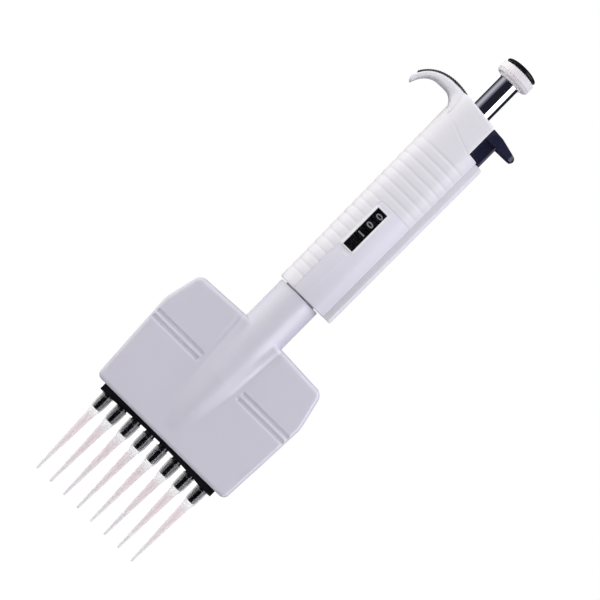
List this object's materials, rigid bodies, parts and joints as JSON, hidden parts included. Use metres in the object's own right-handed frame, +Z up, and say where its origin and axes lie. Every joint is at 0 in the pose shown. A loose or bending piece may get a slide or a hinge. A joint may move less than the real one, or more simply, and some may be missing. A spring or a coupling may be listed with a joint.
{
  "type": "multichannel pipette",
  "caption": "Handheld air-displacement pipette with a finger hook, plunger knob, volume window, side ejector lever and a flat swivelling manifold with a row of disposable tips.",
  "frame": {"origin": "on the pipette's axis, in the plane of the tip orifices", "axes": "+Z up the pipette's axis from the tips to the plunger knob; -Y towards the display side; -X towards the finger hook; +X towards the ejector lever"},
  "size_m": [0.089, 0.026, 0.2982],
  "materials": {
    "white_plastic": "semi-gloss white",
    "grey_plastic": "fine satin, cool lilac grey",
    "black_plastic": "semi-gloss black",
    "navy_plastic": "glossy dark navy",
    "grey_rubber": "matt dark grey",
    "black_rubber": "matt black",
    "chrome": "polished",
    "steel": "ground stainless",
    "clear_lens": "clear",
    "tip_plastic": "translucent natural polypropylene"
  },
  "bodies": {
    "handle": {"handle_shell": "white_plastic", "hook_pad": "grey_rubber", "label_panel": "white_plastic", "display_lens": "clear_lens", "ejector_cover": "white_plastic", "top_bush": "white_plastic", "spring_seat": "white_plastic", "swivel_bush": "white_plastic", "counter_frame": "black_plastic", "blowout_spring": "steel", "ejector_spring": "steel"},
    "ring_ones": {"ring_ones": "black_plastic"},
    "ring_tens": {"ring_tens": "black_plastic"},
    "ring_hundreds": {"ring_hundreds": "black_plastic"},
    "blowout": {"blowout_ring": "black_plastic", "main_spring": "steel"},
    "plunger": {"thrust_ring": "white_plastic"},
    "knob": {"knob": "white_plastic", "knob_insert": "black_plastic", "plunger_sleeve": "chrome", "drive_rod": "steel"},
    "ejector": {"ejector_button": "navy_plastic", "ejector_rod": "steel", "ejector_collar": "black_plastic"},
    "manifold": {"manifold_front": "grey_plastic", "manifold_back": "grey_plastic", "cone_holder": "white_plastic", "seal_strip": "black_rubber", "case_screw_1": "steel", "case_screw_2": "steel", "case_screw_3": "steel", "case_screw_4": "steel", "tip_cone_1": "black_plastic", "tip_cone_2": "black_plastic", "tip_cone_3": "black_plastic", "tip_cone_4": "black_plastic", "tip_cone_5": "black_plastic", "tip_cone_6": "black_plastic", "tip_cone_7": "black_plastic", "tip_cone_8": "black_plastic"},
    "pistons": {"push_rod": "steel", "piston_bar": "steel", "piston_1": "steel", "piston_2": "steel", "piston_3": "steel", "piston_4": "steel", "piston_5": "steel", "piston_6": "steel", "piston_7": "steel", "piston_8": "steel"},
    "ejector_yoke": {"ejector_yoke": "black_plastic", "ejector_plate": "black_plastic"},
    "tips": {"tip_1": "tip_plastic", "tip_2": "tip_plastic", "tip_3": "tip_plastic", "tip_4": "tip_plastic", "tip_5": "tip_plastic", "tip_6": "tip_plastic", "tip_7": "tip_plastic", "tip_8": "tip_plastic"}
  },
  "joints": [
    {"name": "blowout_slide", "type": "slide", "parent": "handle", "child": "blowout", "axis": [0, 0, -1], "range_m": [0, 0.003], "stiffness_N_per_m": 1500, "springref_m": -0.004, "deforming": ["blowout_spring"]},
    {"name": "plunger_slide", "type": "slide", "parent": "blowout", "child": "plunger", "axis": [0, 0, -1], "range_m": [0, 0.011], "stiffness_N_per_m": 250, "springref_m": -0.01, "deforming": ["main_spring"]},
    {"name": "volume_turn", "type": "hinge", "parent": "plunger", "child": "knob", "pos_m": [0, 0, 0.2879], "axis": [0, 0, 1], "range_deg": [-2520, 7200]},
    {"name": "ones_turn", "type": "hinge", "parent": "handle", "child": "ring_ones", "pos_m": [0, 0, 0.199], "axis": [0, 0, 1], "range_deg": [-2520, 7200]},
    {"name": "tens_turn", "type": "hinge", "parent": "handle", "child": "ring_tens", "pos_m": [0, 0, 0.193], "axis": [0, 0, 1], "range_deg": [-252, 720]},
    {"name": "hundreds_turn", "type": "hinge", "parent": "handle", "child": "ring_hundreds", "pos_m": [0, 0, 0.187], "axis": [0, 0, 1], "range_deg": [-25.2, 72]},
    {"name": "ejector_slide", "type": "slide", "parent": "handle", "child": "ejector", "axis": [0, 0, -1], "range_m": [0, 0.008], "stiffness_N_per_m": 150, "springref_m": -0.01, "deforming": ["ejector_spring"]},
    {"name": "manifold_swivel", "type": "hinge", "parent": "handle", "child": "manifold", "pos_m": [0, 0, 0.146], "axis": [0, 0, 1], "continuous": true},
    {"name": "piston_swivel", "type": "hinge", "parent": "plunger", "child": "pistons", "pos_m": [0, 0, 0.15], "axis": [0, 0, 1], "continuous": true},
    {"name": "yoke_slide", "type": "slide", "parent": "manifold", "child": "ejector_yoke", "axis": [0, 0, -1], "range_m": [0, 0.008]},
    {"name": "tips_slide", "type": "slide", "parent": "manifold", "child": "tips", "axis": [0, 0, -1], "range_m": [0, 0.008]}
  ],
  "couplings": [
    {"joint": "ones_turn", "follows": "volume_turn", "ratio": 1},
    {"joint": "tens_turn", "follows": "volume_turn", "ratio": 0.1},
    {"joint": "hundreds_turn", "follows": "volume_turn", "ratio": 0.01},
    {"joint": "piston_swivel", "follows": "manifold_swivel", "ratio": 1},
    {"joint": "yoke_slide", "follows": "ejector_slide", "ratio": 1},
    {"joint": "tips_slide", "follows": "ejector_slide", "ratio": 1}
  ]
}
